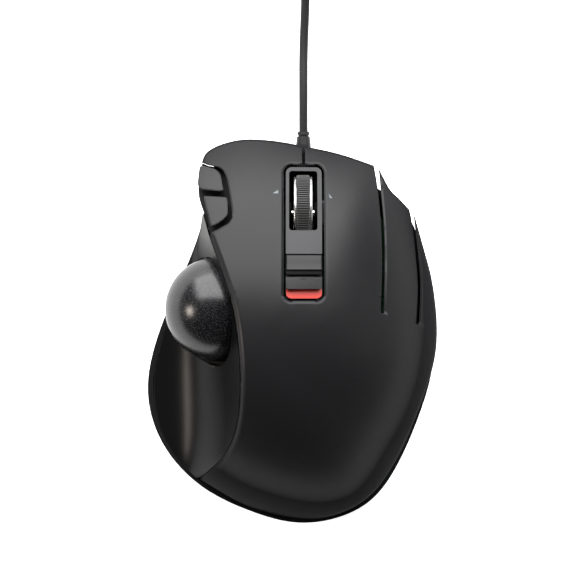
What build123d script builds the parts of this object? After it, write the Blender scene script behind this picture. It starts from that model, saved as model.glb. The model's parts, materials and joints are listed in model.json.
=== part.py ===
from build123d import *
import math
import os

# Thumb-operated trackball mouse for the right hand, with a wired tail.
# Frame: +X to the user's right, +Y towards the cable, +Z up from the desk.
# The origin is on the desk, under the middle of the body's plan outline. Sizes are in millimetres.

os.makedirs("parts", exist_ok=True)

# ---------------------------------------------------------------- driving dimensions
BODY_TOP = 47.9  # highest point of the palm cover
WALL = 2.0
FOOT_T = 0.8
FLOOR_TOP = 2.8
RIM_TOP = 7.6  # top of the bottom case's side wall
SKIRT_Z = 8.4  # lower edge of the palm cover and the main buttons
SEAM_Y = 12.0  # where the main buttons' plates bend from the palm cover
SEAM_GAP = 0.16
FIT = 0.25  # gap between fixed neighbours that show

BALL_R = 17.0
BALL = Vector(-25.0, 7.7, 22.0)
CUP_R = 17.8
CUP_T = 1.0
APERTURE_R = 18.9
BEARING_R = 1.25

MODULE_X = 3.8  # centre line of the wheel, the bezel and the cable
WHEEL_R = 12.5
WHEEL = Vector(3.6, 39.3, 23.6)
CORD_D = 2.9

# ---------------------------------------------------------------- the body's surfaces
# Crown of the palm cover: a dome about one peak, falling to the cover's edge in every direction.
# Each row is a direction in degrees from +X, the reach to the edge, the edge's height, and how round
# the fall is, from 0 (a parabola) to 1 (an ellipse that drops upright at the edge).
PEAK = Vector(-12.0, -4.0)
CROWN = [
    (0, 60.5, 9.8, 0.93),
    (28, 64.0, 11.0, 0.88),
    (55, 70.5, 13.0, 0.70),
    (75, 68.0, 16.0, 0.58),
    (97, 67.5, 17.0, 0.55),
    (115, 64.0, 16.0, 0.60),
    (145, 54.0, 14.0, 0.75),
    (185, 45.0, 12.0, 0.85),
    (222, 45.5, 9.0, 0.90),
    (247, 49.5, 8.6, 0.93),
    (270, 55.5, 8.5, 0.94),
    (300, 64.7, 8.5, 0.94),
    (325, 60.8, 8.9, 0.94),
]

# Plan of the palm cover's thumb-side edge, front to rear, and of the bottom case beside it.
LEFT_EDGE = [
    (-29.0, 38.9),
    (-26.7, 30.9),
    (-24.0, 23.6),
    (-21.5, 16.3),
    (-19.2, 8.6),
    (-17.6, -1.0),
    (-16.9, -10.0),
    (-16.8, -19.0),
    (-17.7, -28.5),
    (-19.9, -36.0),
    (-23.4, -41.8),
    (-27.5, -46.0),
    (-31.0, -49.3),
]
CASE_LEFT = [
    (-28.8, 44.0),
    (-31.5, 31.9),
    (-36.3, 19.6),
    (-41.6, 7.5),
    (-46.2, -5.5),
    (-48.3, -18.0),
    (-46.2, -31.0),
    (-39.5, -43.0),
    (-28.0, -53.3),
]
CASE_REST = [
    (-14.0, -60.0),
    (1.5, -63.9),
    (14.0, -62.6),
    (26.5, -56.3),
    (35.0, -45.0),
    (42.2, -28.8),
    (46.9, -12.0),
    (46.9, 4.0),
    (43.6, 24.5),
    (40.2, 36.3),
    (35.1, 42.9),
    (28.8, 47.8),
    (18.0, 53.8),
    (4.0, 59.0),
    (-11.0, 60.8),
    (-21.5, 59.2),
    (-27.3, 53.5),
]
THUMB_STEP = 2.4  # how far the thumb rest's top edge lies below the crown
THUMB_ROWS = 28
THUMB_COLUMNS = 16


def hermite(before, low, high, after, at, column):
    """A value between two rows of a table, eased by the rows on either side. Rows start with the key."""
    span = high[0] - low[0]
    t = (at - low[0]) / span
    slope_low = (high[column] - before[column]) / (high[0] - before[0]) * span
    slope_high = (after[column] - low[column]) / (after[0] - low[0]) * span
    return (
        (2 * t**3 - 3 * t**2 + 1) * low[column]
        + (t**3 - 2 * t**2 + t) * slope_low
        + (3 * t**2 - 2 * t**3) * high[column]
        + (t**3 - t**2) * slope_high
    )


def toward(angle):
    """The crown's reach, edge height and roundness in a direction."""
    turn = [(row[0] + lap, *row[1:]) for lap in (-360, 0, 360) for row in CROWN]
    k = max(i for i, row in enumerate(turn) if row[0] <= angle % 360)
    return [hermite(*turn[k - 1 : k + 3], angle % 360, column) for column in (1, 2, 3)]


def edge_x(edge, y):
    """Where a plan edge, listed front to rear, crosses a line of constant y."""
    rows = [(-py, px) for px, py in edge]
    rows = [(2 * rows[0][0] - rows[1][0], 2 * rows[0][1] - rows[1][1]), *rows]
    rows.append((2 * rows[-1][0] - rows[-2][0], 2 * rows[-1][1] - rows[-2][1]))
    k = max([i for i, row in enumerate(rows) if row[0] <= -y] + [1])
    k = min(k, len(rows) - 3)
    return hermite(*rows[k - 1 : k + 3], -y, 1)


def crown_height(x, y):
    dx, dy = x - PEAK.X, y - PEAK.Y
    reach, edge, roundness = toward(math.degrees(math.atan2(dy, dx)))
    share = math.hypot(dx, dy) / reach
    inside = min(share, 0.93 / roundness)
    base = math.sqrt(1 - roundness**2)
    arc = math.sqrt(1 - (roundness * inside) ** 2)
    slope = roundness**2 * inside / arc
    return edge + (BODY_TOP - edge) * (arc - base - slope * (share - inside)) / (1 - base)


def crown_point(u, v):
    return Vector(u, v, crown_height(u, v))


def thumb_point(u, v):
    """A point of the thumb rest: u is 0 at the cover's edge and 1 at the case's rim, and v is y."""
    top_x, rim_x = edge_x(LEFT_EDGE, v), edge_x(CASE_LEFT, v)
    width = max(top_x - rim_x, 5.0)
    top_z = crown_height(top_x, v) - THUMB_STEP
    hollow = 1.1 + width / 16
    fall = max(1 - u, 0.0) ** hollow - 0.25 * max(u - 1, 0)
    return Vector(top_x - u * width, v, RIM_TOP + 0.6 + (top_z - RIM_TOP - 0.6) * fall)


def surface(point, us, vs, depth):
    """A smooth face near point(u, v) at every u and v, sunk by depth along its normal."""
    rows = []
    for u in us:
        row = []
        for v in vs:
            e = 0.01 * (us[1] - us[0])
            along_u = point(u + e, v) - point(u - e, v)
            along_v = point(u, v + 0.02) - point(u, v - 0.02)
            normal = along_u.cross(along_v).normalized()
            row.append(point(u, v) - normal * math.copysign(depth, normal.Z * depth) if depth else point(u, v))
        rows.append(row)
    return Face.make_surface_from_array_of_points(rows, tol=0.02, min_deg=3, max_deg=3)


def spaced(low, high, count):
    return [low + (high - low) * k / (count - 1) for k in range(count)]


def under_crown(depth=0.0):
    """Everything below the crown sunk by depth, as a solid."""
    xs, ys = spaced(-38, 51, 25), spaced(-67, 67, 33)
    return Solid.extrude(surface(crown_point, xs, ys, depth), Vector(0, 0, -110))


def under_thumb(depth=0.0):
    """Everything below the thumb rest's top sunk by depth, as a solid."""
    us, ys = spaced(-0.14, 1.12, THUMB_COLUMNS), spaced(-53, 46, THUMB_ROWS)
    return Solid.extrude(surface(thumb_point, us, ys, depth), Vector(0, 0, -110))


# ---------------------------------------------------------------- plan outlines
FRONT = [
    (-30.0, 56.4),
    (-28.7, 59.2),
    (-25.7, 61.4),
    (-17.3, 63.8),
    (-7.3, 63.6),
    (4.0, 61.7),
    (16.0, 59.1),
    (27.3, 55.4),
]
RING_HORN = [(28.8, 54.8), (30.3, 51.6), (32.7, 47.2), (36.0, 44.0), (39.2, 40.6)]
RIGHT_SIDE = [
    (40.8, 39.1),
    (44.3, 26.6),
    (46.8, 16.6),
    (48.4, 1.0),
    (47.4, -10.0),
    (41.1, -28.8),
    (34.0, -44.3),
    (25.6, -55.2),
    (13.8, -61.4),
    (1.4, -62.7),
    (-13.6, -58.9),
    (-31.0, -49.3),
]
LEFT_FRONT = [(-29.0, 38.9), (-30.7, 44.6), (-31.2, 50.5), (-30.0, 56.4)]
RECESS = [
    (-30.0, 56.2),
    (-28.0, 55.3),
    (-23.7, 54.1),
    (-22.0, 51.9),
    (-20.7, 46.6),
    (-19.7, 39.9),
    (-19.7, 37.6),
    (-20.7, 35.9),
    (-26.7, 32.2),
    (-27.0, 31.2),
]
PANEL_LEFT = [
    (-29.3, 39.6),
    (-31.2, 31.9),
    (-35.6, 19.6),
    (-40.3, 7.5),
    (-44.3, -5.5),
    (-46.3, -18.0),
    (-44.4, -31.0),
    (-38.6, -42.0),
    (-31.6, -49.5),
]
FORWARD = [
    (-31.0, 51.3),
    (-31.2, 48.9),
    (-30.5, 47.1),
    (-26.7, 46.6),
    (-22.5, 46.3),
    (-23.0, 48.9),
    (-23.7, 52.3),
    (-25.3, 53.8),
    (-28.0, 54.6),
    (-30.6, 55.2),
]
BACK = [
    (-28.3, 41.0),
    (-27.1, 36.6),
    (-26.5, 34.4),
    (-23.3, 36.1),
    (-21.3, 37.9),
    (-21.0, 38.9),
    (-21.3, 44.3),
    (-26.0, 44.6),
    (-29.1, 44.8),
]
SLOT_RING = [(28.0, 57.5), (28.9, 47.6), (29.8, 35.6), (30.0, 24.0), (29.5, 6.7)]
SLOT_SIDE = [(40.1, 41.5), (40.2, 36.5), (41.5, 25.6), (42.1, 15.0), (41.5, 3.1)]
SLOT_WIDTH = 1.0
BEZEL_LOW, BEZEL_HIGH = Vector(-2.4, 10.8), Vector(10.1, 54.8)  # the long slot for wheel and keys
BEZEL_CORNER = 2.3
SLIT_X = MODULE_X


def plan(*runs):
    """A flat shape on the ground bounded by the runs in order: a curve for 3 points or more, else a line."""
    with BuildSketch(Plane.XY) as shape:
        with BuildLine():
            for k, run in enumerate(runs):
                if len(run) > 2:
                    Spline(*run)
                else:
                    Line(*run)
                following = runs[(k + 1) % len(runs)]
                if math.dist(run[-1], following[0]) > 0.001:
                    Line(run[-1], following[0])
        make_face()
    return shape.sketch


def inset(points, distance):
    """The points of a closed outline moved inwards, square to the outline, for one that runs clockwise."""
    moved = []
    for before, at, after in zip([points[-1], *points], points, [*points[1:], points[0]]):
        into, out = (Vector(*at) - Vector(*before)).normalized(), (Vector(*after) - Vector(*at)).normalized()
        along = (into + out).normalized()
        shift = distance / max(along.dot(into), 0.55)
        moved.append((at[0] + along.Y * shift, at[1] - along.X * shift))
    return moved


def corners(*points):
    with BuildSketch(Plane.XY) as shape:
        Polygon(*points, align=None)
    return shape.sketch


def box_plan(low, high, radius=0.0):
    with BuildSketch(Plane.XY) as shape:
        with Locations((low + high) / 2):
            if radius:
                RectangleRounded(high.X - low.X, high.Y - low.Y, radius)
            else:
                Rectangle(high.X - low.X, high.Y - low.Y)
    return shape.sketch


def groove(points):
    with BuildSketch(Plane.XY) as shape:
        with BuildLine():
            Spline(*points)
        trace(line_width=SLOT_WIDTH)
    return shape.sketch


def block(low, high):
    """A box between two corners."""
    size = high - low
    return Pos(*((low + high) / 2)) * Box(*size)


def prism(shape, low, high):
    """The solid above a flat shape, from one height to another."""
    return extrude(Pos(0, 0, low) * shape, high - low)


def slab(plane, low, high, size=70):
    """The space between two heights above a plane."""
    return extrude(plane.offset(low) * Rectangle(size, size), high - low)


CROWN_TOP = under_crown()
CROWN_IN = under_crown(WALL)
cover_plan = plan(FRONT, RING_HORN, RIGHT_SIDE, LEFT_EDGE[::-1], LEFT_FRONT)
recess_plan = plan(RECESS, [RECESS[-1], (-40, 31.2)], [(-40, 31.2), (-40, 56.2)], [(-40, 56.2), RECESS[0]])
case_plan = plan([*CASE_LEFT, *CASE_REST, CASE_LEFT[0]])
pocket = Pos(*BALL) * Sphere(APERTURE_R)

# ---------------------------------------------------------------- bottom case
CASE_WALL = 1.8
BOSS_R = 2.8
COVER_SCREWS = [(25.0, -38.0), (-12.0, -46.0), (41.0, -3.0)]
PANEL_SCREWS = [(-39.0, -18.0), (-30.5, -40.0)]
SCREWS = COVER_SCREWS + PANEL_SCREWS
BOARD_Z = 3.7
BOARD_T = 1.2
BOARD_TOP = BOARD_Z + BOARD_T
BOARD_SCREWS = [(-15.0, 40.0), (24.0, 42.0), (35.0, 6.0), (0.0, 5.0)]
CORD_Z = 5.2
RELIEF_R = 2.5
EJECT_R = 4.5
FOOT_SPOTS = [(-13.0, 52.5, 10), (31.0, 36.0, -52), (6.0, -54.5, 0), (-40.5, -22.0, 96)]
FOOT_LENGTH, FOOT_WIDTH = 20.0, 6.5

case_inner = inset([*CASE_LEFT, *CASE_REST], -CASE_WALL)
case_inner_plan = plan([*case_inner, case_inner[0]])

with BuildPart() as bottom_case:
    with BuildSketch(Plane.XY.offset(FOOT_T)):
        add(case_plan)
    extrude(amount=FLOOR_TOP - FOOT_T)
    with BuildSketch(Plane.XY.offset(FLOOR_TOP)):
        add(case_plan)
        add(case_inner_plan, mode=Mode.SUBTRACT)
    extrude(amount=RIM_TOP - FLOOR_TOP)
    with BuildSketch(Plane.XY.offset(FLOOR_TOP)):
        with Locations(*BOARD_SCREWS):
            Circle(2.2)
        with Locations(BALL):
            Circle(EJECT_R + 4)
    extrude(amount=BOARD_Z - 0.02 - FLOOR_TOP)
    with BuildSketch(Plane.XY.offset(1.4)):
        with Locations(*BOARD_SCREWS):
            Circle(0.95)
    extrude(amount=3, mode=Mode.SUBTRACT)
    with BuildSketch(Plane.XY):
        with Locations(BALL):
            Circle(EJECT_R)
        with Locations(*SCREWS):
            Circle(1.2)
    extrude(amount=5, mode=Mode.SUBTRACT)
    with BuildSketch(Plane.XY):
        with Locations(*SCREWS):
            Circle(2.15)
    extrude(amount=FOOT_T + 1.25, mode=Mode.SUBTRACT)
    with BuildSketch(Plane.XZ.offset(-62)):  # notch for the cable's relief, open at the top
        with Locations((MODULE_X, CORD_Z)):
            Circle(RELIEF_R - 0.38)
        with Locations((MODULE_X, CORD_Z + 3)):
            Rectangle(2 * RELIEF_R - 0.76, 6)
    extrude(amount=8, mode=Mode.SUBTRACT)
    add(pocket, mode=Mode.SUBTRACT)
bottom_case.part.label = "bottom_case"
export_step(bottom_case.part, "parts/bottom_case.step")

with BuildPart() as feet:
    for x, y, turn in FOOT_SPOTS:
        with BuildSketch(Plane((x, y, 0), x_dir=Vector(1, 0, 0).rotate(Axis.Z, turn))):
            SlotOverall(FOOT_LENGTH, FOOT_WIDTH)
    extrude(amount=FOOT_T)
feet.part.label = "glide_feet"
export_step(feet.part, "parts/glide_feet.step")

with BuildPart() as case_screws:
    with BuildSketch(Plane.XY.offset(FOOT_T + 0.15)):
        with Locations(*SCREWS):
            Circle(1.95)
    extrude(amount=1.1)
    with BuildSketch(Plane.XY.offset(FOOT_T + 1.25)):
        with Locations(*SCREWS):
            Circle(1.0)
    extrude(amount=6.0)
    with BuildSketch(Plane.XY.offset(FOOT_T + 0.15)):
        with Locations(*SCREWS):
            Rectangle(2.2, 0.5)
            Rectangle(0.5, 2.2)
    extrude(amount=0.6, mode=Mode.SUBTRACT)
case_screws.part.label = "case_screws"
export_step(case_screws.part, "parts/case_screws.step")

# ---------------------------------------------------------------- cover and main buttons
cover_loop = [*FRONT, *RING_HORN, *RIGHT_SIDE, *LEFT_EDGE[-2::-1], *LEFT_FRONT[1:-1]]
cover_inner = inset(cover_loop, WALL)
inner_plan = plan([*cover_inner, cover_inner[0]])
EDGE_WALL = 5.0  # depth of the cover's wall along the thumb side
POST_TOP = 13.0
LEFT_POST = Vector(-13.0, 50.0)
RIGHT_POST = Vector(16.5, 41.5)

outer_body = prism(cover_plan, SKIRT_Z, 70) & CROWN_TOP
inner_body = prism(inner_plan, 0, 70) & CROWN_IN
thumb_side = corners((-60, -45.5), (-14, -45.5), (-14, 55), (-60, 55))
under_edge = prism(thumb_side, 0, 70) & Pos(0, 0, -EDGE_WALL) * CROWN_TOP
openings = [
    box_plan(BEZEL_LOW, BEZEL_HIGH, BEZEL_CORNER),
    box_plan(Vector(SLIT_X - 0.5, 54), Vector(SLIT_X + 0.5, 70)),
    groove(SLOT_RING),
    groove(SLOT_SIDE),
    recess_plan,
    box_plan(Vector(-40, SEAM_Y - SEAM_GAP), Vector(0, SEAM_Y + SEAM_GAP)),
    box_plan(Vector(8, SEAM_Y - SEAM_GAP), Vector(29.6, SEAM_Y + SEAM_GAP)),
]

with BuildPart() as shell:
    add(outer_body)
    for solid in (inner_body, under_edge, pocket):
        add(solid, mode=Mode.SUBTRACT)
    with BuildSketch(Plane.XY):
        for opening in openings:
            add(opening)
    extrude(amount=80, mode=Mode.SUBTRACT)
    with BuildSketch(Plane.XZ.offset(-70)):  # room for the cable's relief below the slit
        with Locations((MODULE_X, CORD_Z)):
            Circle(RELIEF_R + 1.2)
    extrude(amount=14, mode=Mode.SUBTRACT)

with BuildPart() as left_button:
    add(shell.part.solids().sort_by(Axis.X)[0])
    with BuildSketch(Plane.XY.offset(POST_TOP)):
        with Locations(LEFT_POST):
            Circle(1.5)
    extrude(amount=crown_height(LEFT_POST.X, LEFT_POST.Y) - WALL / 2 - POST_TOP)
left_button.part.label = "left_button"
export_step(left_button.part, "parts/left_button.step")

with BuildPart() as right_button:
    add(shell.part.solids().sort_by(Axis.Y)[1])
    with BuildSketch(Plane.XY.offset(POST_TOP)):
        with Locations(RIGHT_POST):
            Circle(1.5)
    extrude(amount=crown_height(RIGHT_POST.X, RIGHT_POST.Y) - WALL / 2 - POST_TOP)
right_button.part.label = "right_button"
export_step(right_button.part, "parts/right_button.step")

with BuildSketch(Plane.XY) as cover_boss_plan:
    with Locations(*COVER_SCREWS):
        Circle(BOSS_R)
cover_bosses = prism(cover_boss_plan.sketch, 3.1, 60) & Pos(0, 0, -WALL / 2) * CROWN_TOP

with BuildPart() as palm_cover:
    add(shell.part.solids().sort_by(Axis.Y)[0])
    add(cover_bosses)
    with BuildSketch(Plane.XY.offset(3)):
        with Locations(*COVER_SCREWS):
            Circle(1.02)
    extrude(amount=7.2, mode=Mode.SUBTRACT)
palm_cover.part.label = "palm_cover"
export_step(palm_cover.part, "parts/palm_cover.step")

# ---------------------------------------------------------------- thumb rest
panel_edge = [(x - FIT, y) for x, y in LEFT_EDGE]
panel_plan = plan(panel_edge, PANEL_LEFT[::-1])
panel_body = prism(panel_plan, 3.1, 70) & under_thumb()
panel_hollow = under_thumb(WALL)
rim_inner = inset([*CASE_LEFT, *CASE_REST], -CASE_WALL - FIT)
rim_band = prism(case_plan - plan([*rim_inner, rim_inner[0]]), 0, RIM_TOP + FIT)
with BuildSketch(Plane.XY) as panel_boss_plan:
    with Locations(*PANEL_SCREWS):
        Circle(BOSS_R)
panel_bosses = prism(panel_boss_plan.sketch, 3.1, 40) & Pos(0, 0, -WALL / 2) * under_thumb()

with BuildPart() as thumb_panel:
    add(panel_body)
    add(panel_hollow, mode=Mode.SUBTRACT)
    add(rim_band, mode=Mode.SUBTRACT)
    add(panel_bosses)
    add(pocket, mode=Mode.SUBTRACT)
    with BuildSketch(Plane.XY.offset(3)):
        with Locations(*PANEL_SCREWS):
            Circle(1.02)
    extrude(amount=5.3, mode=Mode.SUBTRACT)
thumb_panel.part.label = "thumb_panel"
export_step(thumb_panel.part, "parts/thumb_panel.step")
print("thumb panel solids", [round(s.volume) for s in thumb_panel.part.solids()])

# ---------------------------------------------------------------- side buttons and their frame
SIDE = Vector(-26.0, 46.0, crown_height(-26.0, 46.0))
SIDE_PLANE = Plane(SIDE, x_dir=Vector(1, 0, 0.3), z_dir=Vector(-0.33, 0.62, 1.1))
SIDE_FLOOR = 9.0  # depth of the frame's floor below the crown there
SIDE_KEY_T = 2.2
SWITCH_TALL = 1.9
FORWARD_STEM = Vector(-26.4, 50.3)
BACK_STEM = Vector(-24.6, 40.6)
FRAME = [
    (-29.9, 55.3),
    (-28.1, 54.4),
    (-24.2, 53.3),
    (-22.55, 51.5),
    (-21.0, 46.6),
    (-20.0, 39.9),
    (-20.0, 37.7),
    (-20.9, 36.2),
    (-26.4, 32.7),
    (-26.9, 32.3),
    (-27.5, 34.8),
    (-28.7, 38.9),
    (-30.6, 44.6),
    (-31.0, 50.5),
]
frame_plan = corners(*FRAME)
frame_core = corners(*inset(FRAME, 1.0))
frame_left = corners((-40, 25), (-27.5, 25), (-27.5, 35.5), (-29.4, 42), (-29.4, 60), (-40, 60))
frame_wall = prism((frame_plan - frame_core) & frame_left, SKIRT_Z, 70)
frame_low = prism(corners((-40, 45.2), (-20, 45.2), (-20, 60), (-40, 60)), 0, 70)
frame_wall = frame_wall & Pos(0, 0, -0.8) * CROWN_TOP
frame_wall = frame_wall - (frame_low - Pos(0, 0, -3.6) * CROWN_TOP)
frame_floor = prism(frame_plan, 8.0, 70) & slab(SIDE_PLANE, -SIDE_FLOOR, 1.5 - SIDE_FLOOR)

with BuildPart() as side_frame:
    add(frame_wall)
    add(frame_floor)
side_frame.part.label = "side_button_frame"
export_step(side_frame.part, "parts/side_button_frame.step")
print("side frame solids", [round(s.volume) for s in side_frame.part.solids()])


def side_spot(spot, height):
    """A plane parallel to the side buttons, through a plan position, at a height from their face."""
    n = SIDE_PLANE.z_dir
    z = SIDE.Z - (n.X * (spot.X - SIDE.X) + n.Y * (spot.Y - SIDE.Y)) / n.Z
    return Plane(Vector(spot.X, spot.Y, z) + n * height, x_dir=SIDE_PLANE.x_dir, z_dir=n)


BOARD_LEVEL = 1.52 - SIDE_FLOOR
with BuildPart() as side_board:
    with BuildSketch(SIDE_PLANE.offset(BOARD_LEVEL)):
        with Locations((0.75, -1.5)):
            Rectangle(5.4, 17.5)
    extrude(amount=1.0)
side_board.part.label = "side_button_board"
export_step(side_board.part, "parts/side_button_board.step")

with BuildPart() as side_switches:
    for spot in (FORWARD_STEM, BACK_STEM):
        with BuildSketch(side_spot(spot, BOARD_LEVEL + 1.02)):
            Rectangle(3.6, 3.6)
        extrude(amount=SWITCH_TALL - 0.5)
        with BuildSketch(side_spot(spot, BOARD_LEVEL + 1.02 + SWITCH_TALL - 0.5)):
            Circle(0.8)
        extrude(amount=0.5)
side_switches.part.label = "side_button_switches"
export_step(side_switches.part, "parts/side_button_switches.step")

for name, outline, stem in (("forward_button", FORWARD, FORWARD_STEM), ("back_button", BACK, BACK_STEM)):
    key_body = prism(corners(*outline), 0, 70) & (CROWN_TOP - Pos(0, 0, -SIDE_KEY_T) * CROWN_TOP)
    with BuildPart() as side_key:
        add(key_body)
        with BuildSketch(side_spot(stem, BOARD_LEVEL + 1.02 + SWITCH_TALL + 0.85)):
            Circle(1.1)
        extrude(amount=SIDE_FLOOR - 6.2)
    side_key.part.label = name
    export_step(side_key.part, f"parts/{name}.step")
    print(name, [round(s.volume) for s in side_key.part.solids()])

# ---------------------------------------------------------------- trackball, cup, bearings and sensor
SENSOR_DIR = Vector(0.92, 0, -0.392)
CUP_PLANE = Plane(BALL + Vector(0, 0, -3.5), z_dir=Vector(-0.47, 0, 0.883))
BEARING_LOW = 59  # degrees below the ball's middle
BEARING_TURNS = (90, 210, 330)
BEARING_REACH = BALL_R + BEARING_R + 0.03
sensor_plane = Plane(BALL, x_dir=Vector(0, 1, 0), z_dir=SENSOR_DIR)
bearing_planes = [
    Plane(BALL, x_dir=Vector(0, 0, 1), z_dir=Vector(1, 0, 0).rotate(Axis.Y, BEARING_LOW).rotate(Axis.Z, turn))
    for turn in BEARING_TURNS
]

with BuildPart() as trackball:
    with Locations(BALL):
        Sphere(BALL_R)
trackball.part.label = "trackball"
export_step(trackball.part, "parts/trackball.step")

above_cup = slab(CUP_PLANE, 0, 60, 90)
cup_hollow = Pos(*BALL) * Sphere(CUP_R)
with BuildPart() as ball_cup:
    with Locations(BALL):
        Sphere(CUP_R + CUP_T)
    for plane in bearing_planes:
        with BuildSketch(plane.offset(CUP_R)):
            Circle(2.0)
        extrude(amount=2.4)
    with BuildSketch(sensor_plane.offset(CUP_R + 0.2)):
        with Locations((5.6, 0), (-5.6, 0)):
            Circle(1.1)
    extrude(amount=4.0)
    add(above_cup, mode=Mode.SUBTRACT)
    add(cup_hollow, mode=Mode.SUBTRACT)
    for plane in bearing_planes:
        with BuildSketch(plane):
            Circle(BEARING_R + 0.03)
        extrude(amount=BEARING_REACH + BEARING_R + 0.05, mode=Mode.SUBTRACT)
    with BuildSketch(sensor_plane):
        Circle(2.9)
    extrude(amount=30, mode=Mode.SUBTRACT)
    with BuildSketch(Plane.XY):
        with Locations(BALL):
            Circle(EJECT_R)
    extrude(amount=10, mode=Mode.SUBTRACT)
ball_cup.part.label = "ball_cup"
export_step(ball_cup.part, "parts/ball_cup.step")
print("cup solids", [round(s.volume) for s in ball_cup.part.solids()])

with BuildPart() as bearings:
    with Locations(*[plane.origin + plane.z_dir * BEARING_REACH for plane in bearing_planes]):
        Sphere(BEARING_R)
bearings.part.label = "support_bearings"
export_step(bearings.part, "parts/support_bearings.step")

SENSOR_PARTS = (
    ("sensor_lens", CUP_R + CUP_T + 0.2, 1.3, 5.2, 5.2),
    ("sensor_chip", CUP_R + CUP_T + 1.55, 1.4, 8.0, 7.0),
    ("sensor_board", CUP_R + CUP_T + 3.25, 1.2, 13.5, 11.5),
)
for name, level, thick, wide, tall in SENSOR_PARTS:
    with BuildPart() as sensor_part:
        with BuildSketch(sensor_plane.offset(level)):
            if name == "sensor_lens":
                Circle(wide / 2)
            else:
                RectangleRounded(wide, tall, 0.4)
        extrude(amount=thick)
    sensor_part.part.label = name
    export_step(sensor_part.part, f"parts/{name}.step")

# ---------------------------------------------------------------- wheel module
TYRE_IN = 9.6
TYRE_WIDE = 4.3
RING_T = 1.1
AXLE_R = 1.0
PIVOT_Z = 15.0
CRADLE_IN, CRADLE_OUT = Vector(3.75, 13.0), Vector(4.75, 13.8)
YOKE_Z, YOKE_T = 7.0, 1.6
TYRE_GROOVES = 44
wheel_plane = Plane(WHEEL, x_dir=Vector(0, 1, 0), z_dir=Vector(1, 0, 0))

with BuildPart() as hub:
    with BuildSketch(wheel_plane.offset(-TYRE_WIDE / 2)):
        Circle(TYRE_IN)
        Circle(AXLE_R + 0.02, mode=Mode.SUBTRACT)
    extrude(amount=TYRE_WIDE)
    for side in (-1, 1):
        with BuildSketch(wheel_plane.offset(side * TYRE_WIDE / 2)):
            Circle(8.6)
            Circle(2.6, mode=Mode.SUBTRACT)
        extrude(amount=-1.2 * side, mode=Mode.SUBTRACT)
hub.part.label = "wheel_hub"
export_step(hub.part, "parts/wheel_hub.step")

with BuildPart() as tyre:
    with BuildSketch(wheel_plane.offset(-TYRE_WIDE / 2)):
        Circle(WHEEL_R)
        Circle(TYRE_IN + 0.02, mode=Mode.SUBTRACT)
        with PolarLocations(WHEEL_R + 0.05, TYRE_GROOVES):
            Circle(0.42, mode=Mode.SUBTRACT)
    extrude(amount=TYRE_WIDE)
tyre.part.label = "wheel_tyre"
export_step(tyre.part, "parts/wheel_tyre.step")

with BuildPart() as rings:
    for side in (-1, 1):
        with BuildSketch(wheel_plane.offset(side * (TYRE_WIDE / 2 + 0.02))):
            Circle(WHEEL_R - 0.4)
            Circle(TYRE_IN - 0.6, mode=Mode.SUBTRACT)
        extrude(amount=side * RING_T, taper=8)
rings.part.label = "wheel_rings"
export_step(rings.part, "parts/wheel_rings.step")

with BuildPart() as axle:
    with BuildSketch(wheel_plane.offset(-CRADLE_OUT.X - 0.15)):
        Circle(AXLE_R)
    extrude(amount=2 * CRADLE_OUT.X + 2.6)
axle.part.label = "wheel_axle"
export_step(axle.part, "parts/wheel_axle.step")

WALL_LOW, WALL_HIGH = 12.6, 17.6
PIN_LONG = 1.5
with BuildPart() as cradle:
    with BuildSketch(Plane.XY.offset(WALL_LOW)):
        with Locations(WHEEL):
            Rectangle(2 * CRADLE_OUT.X, 2 * CRADLE_OUT.Y)
            Rectangle(2 * CRADLE_IN.X, 2 * CRADLE_IN.Y, mode=Mode.SUBTRACT)
    extrude(amount=WALL_HIGH - WALL_LOW)
    for side in (-1, 1):
        with BuildSketch(wheel_plane.offset(side * CRADLE_IN.X)):
            with Locations((0, WALL_HIGH - WHEEL.Z + 1.5)):
                Rectangle(7, 9)
            Circle(3.5)
        extrude(amount=side * (CRADLE_OUT.X - CRADLE_IN.X))
    with BuildSketch(wheel_plane.offset(-10)):
        Circle(AXLE_R + 0.05)
    extrude(amount=20, mode=Mode.SUBTRACT)
    for side in (-1, 1):
        with BuildSketch(Plane.XZ.offset(-WHEEL.Y - side * CRADLE_OUT.Y)):
            with Locations((WHEEL.X, PIVOT_Z)):
                Circle(AXLE_R)
        extrude(amount=-side * PIN_LONG)
cradle.part.label = "tilt_cradle"
export_step(cradle.part, "parts/tilt_cradle.step")

with BuildPart() as encoder:
    with BuildSketch(wheel_plane.offset(CRADLE_OUT.X + 0.03)):
        with Locations((0, -1.0)):
            RectangleRounded(8, 8, 0.6)
        Circle(AXLE_R + 0.05, mode=Mode.SUBTRACT)
    extrude(amount=2.8)
encoder.part.label = "wheel_encoder"
export_step(encoder.part, "parts/wheel_encoder.step")

UPRIGHT_IN, UPRIGHT_T = CRADLE_OUT.Y + 0.35, 1.25
with BuildPart() as yoke:
    with BuildSketch(Plane.XY.offset(YOKE_Z)):
        with Locations(WHEEL):
            Rectangle(11, 2 * (UPRIGHT_IN + UPRIGHT_T))
    extrude(amount=YOKE_T)
    for side in (-1, 1):
        with BuildSketch(Plane.XZ.offset(-WHEEL.Y - side * UPRIGHT_IN)):
            with Locations((WHEEL.X, (YOKE_Z + 16.5) / 2)):
                Rectangle(7.5, 16.5 - YOKE_Z)
            with Locations((WHEEL.X, PIVOT_Z)):
                Circle(AXLE_R + 0.05, mode=Mode.SUBTRACT)
        extrude(amount=-side * UPRIGHT_T)
yoke.part.label = "click_yoke"
export_step(yoke.part, "parts/click_yoke.step")

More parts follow.
